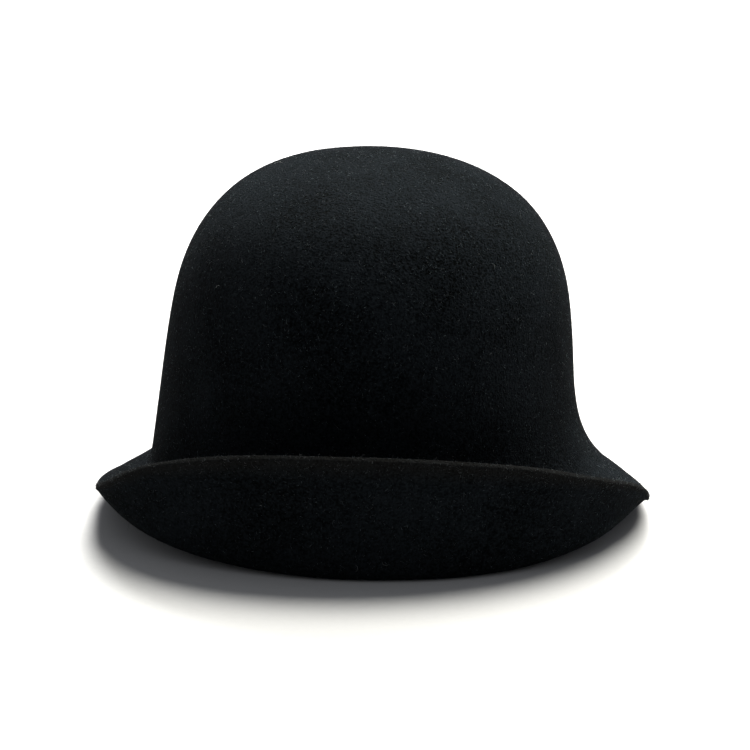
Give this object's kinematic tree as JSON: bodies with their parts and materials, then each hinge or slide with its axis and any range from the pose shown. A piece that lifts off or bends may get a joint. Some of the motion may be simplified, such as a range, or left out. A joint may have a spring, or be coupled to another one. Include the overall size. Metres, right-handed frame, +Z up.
{
  "type": "cloche hat",
  "caption": "Soft felt cloche hat with a deep rounded crown and a brim turned up at the front into a curved flap.",
  "frame": {"origin": "on the table the hat rests on, under the middle of its bounding box", "axes": "+Z up, -Y towards the turned-up front of the brim, +X to the right as seen from the front"},
  "size_m": [0.2368, 0.2688, 0.1505],
  "materials": {
    "wool_felt": "black blocked wool felt, matt with a soft fuzzy nap"
  },
  "bodies": {
    "root": {"felt_body": "wool_felt"}
  },
  "joints": []
}
